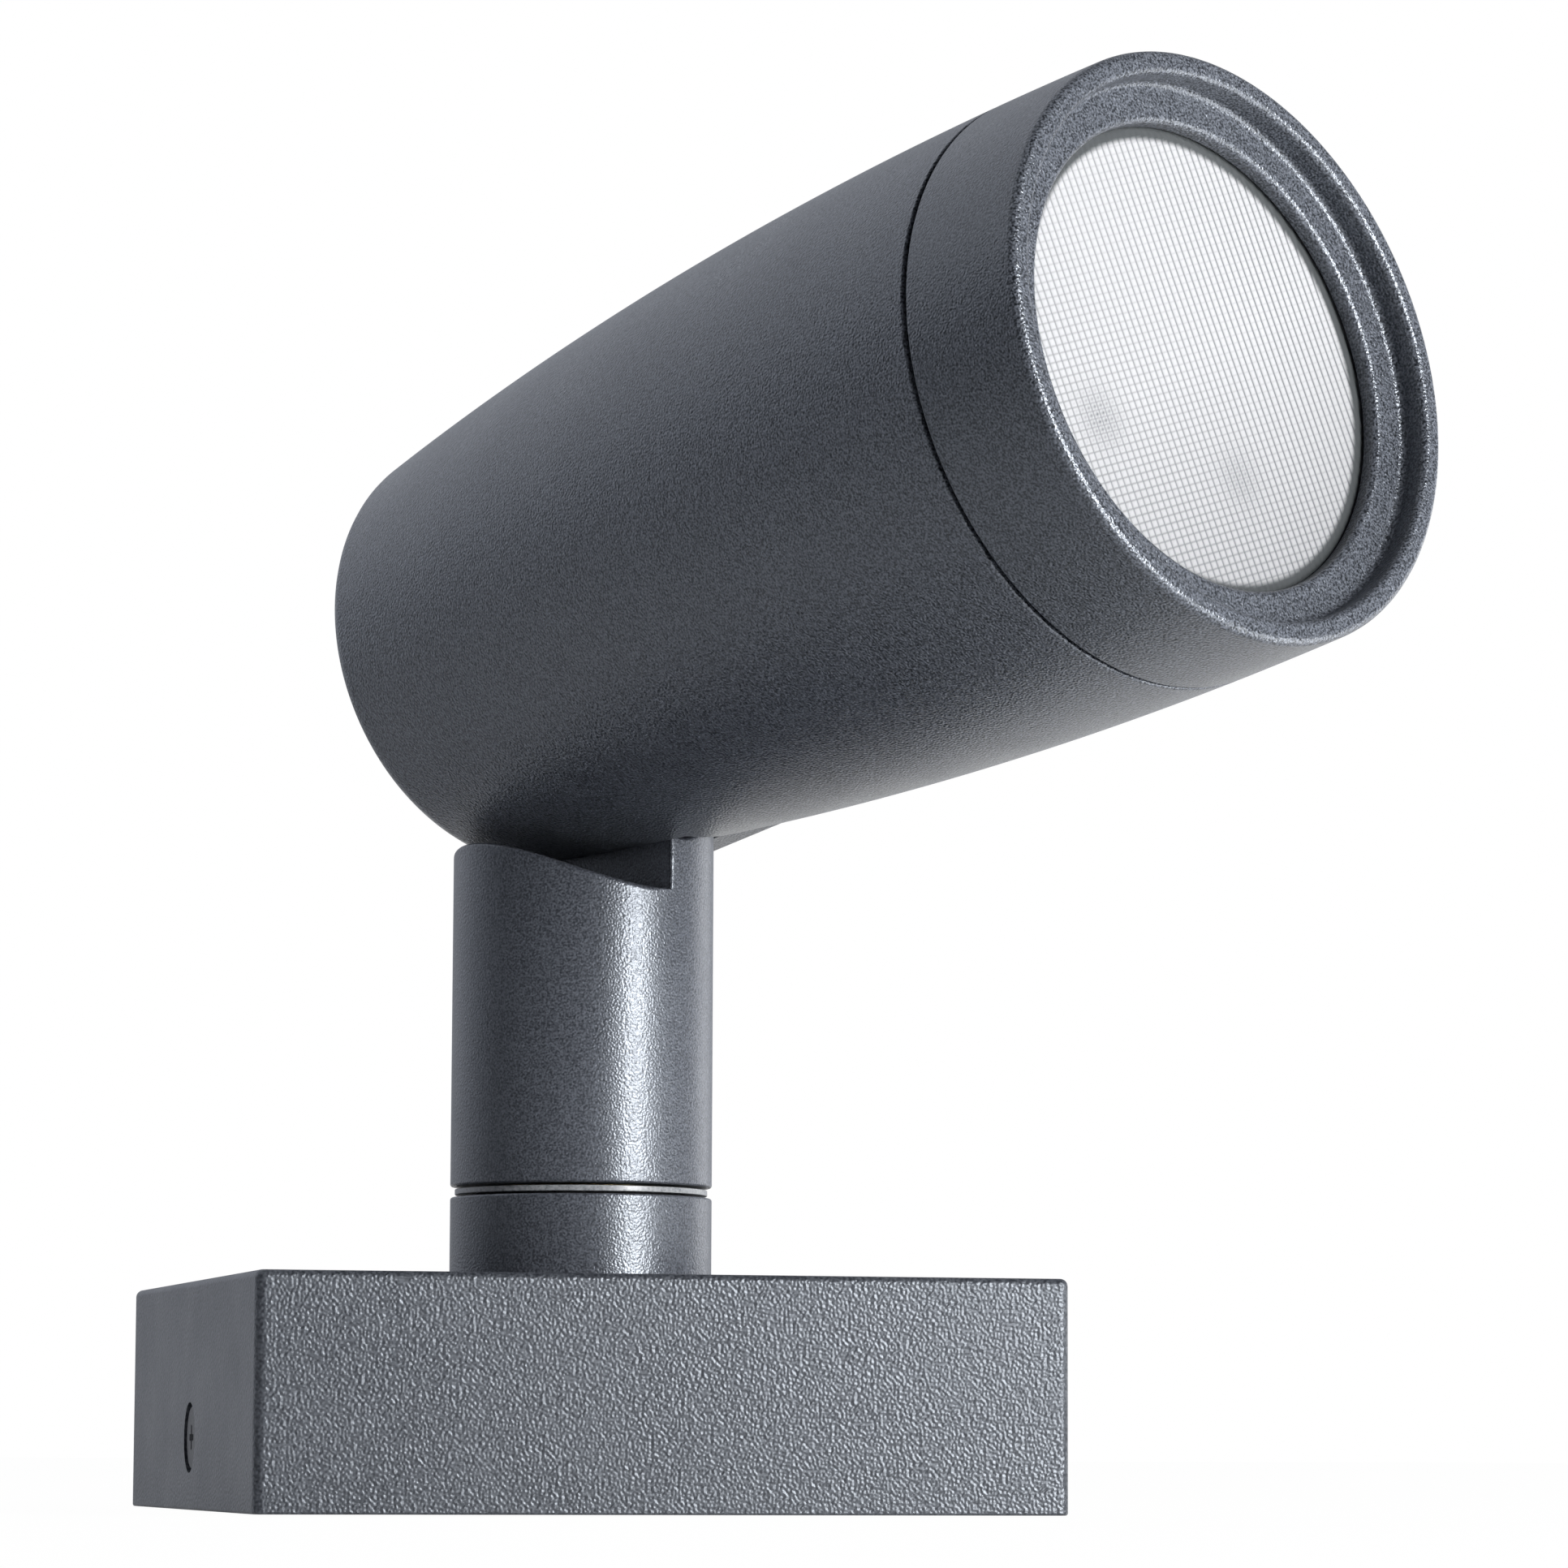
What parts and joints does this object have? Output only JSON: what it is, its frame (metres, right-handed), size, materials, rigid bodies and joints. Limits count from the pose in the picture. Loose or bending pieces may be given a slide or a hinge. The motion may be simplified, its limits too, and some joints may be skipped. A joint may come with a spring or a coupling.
{
  "type": "adjustable outdoor spotlight",
  "caption": "Outdoor spotlight: bullet-shaped head with recessed prism glass, tilting on a swivel post over a square box base with side screws.",
  "frame": {"origin": "middle of the base's underside, where the mounting plate meets the wall or ground", "axes": "+Z out of the mounting surface along the post, +X along the base's front side, -Y out of the front side"},
  "size_m": [0.1296, 0.1587, 0.1626],
  "materials": {
    "coated_aluminium": "matte",
    "stainless_steel": "satin",
    "blackened_steel": "matte",
    "brass": "satin",
    "bare_aluminium": "satin",
    "reflector_coating": "polished",
    "rubber": "matte",
    "nylon": "satin",
    "dark_plastic": "matte",
    "circuit_board": "satin",
    "led_board_white": "satin",
    "phosphor": "satin",
    "prism_glass": "gloss",
    "lead_sheath": "matte"
  },
  "bodies": {
    "base": {"base_housing": "coated_aluminium", "mounting_plate": "stainless_steel", "side_screw_left": "blackened_steel", "side_screw_right": "blackened_steel", "base_gasket": "rubber", "cable_grommet": "rubber", "terminal_block": "nylon", "pedestal_collar": "coated_aluminium", "swivel_nipple": "brass", "base_washer": "stainless_steel", "base_nut": "brass", "swivel_washer": "dark_plastic", "swivel_seal": "rubber", "swivel_stop_pin": "stainless_steel", "spring_washer": "stainless_steel", "swivel_nut": "brass", "base_lead": "lead_sheath"},
    "post": {"swivel_post": "coated_aluminium", "swivel_bush": "brass", "post_grub_screw": "stainless_steel", "hinge_bush": "brass", "friction_washer": "nylon", "post_lead": "lead_sheath"},
    "head": {"head_body": "coated_aluminium", "hinge_bolt": "stainless_steel", "hinge_spacer": "stainless_steel", "front_bezel": "coated_aluminium", "bezel_seal": "rubber", "front_glass": "prism_glass", "glass_gasket": "rubber", "glass_retainer": "bare_aluminium", "reflector": "reflector_coating", "led_carrier": "bare_aluminium", "led_board": "led_board_white", "led_chip": "phosphor", "led_screw_1": "stainless_steel", "led_screw_2": "stainless_steel", "led_driver": "dark_plastic", "control_board": "circuit_board", "head_lead": "lead_sheath"}
  },
  "joints": [
    {"name": "post_swivel", "type": "hinge", "parent": "base", "child": "post", "pos_m": [0, 0, 0.0391], "axis": [0, 0, 1], "range_deg": [-170, 170]},
    {"name": "head_tilt", "type": "hinge", "parent": "post", "child": "head", "pos_m": [-0.00267, 0.00481, 0.0915], "axis": [-0.8738, -0.4863, 0], "range_deg": [-10.6, 79.4]}
  ]
}
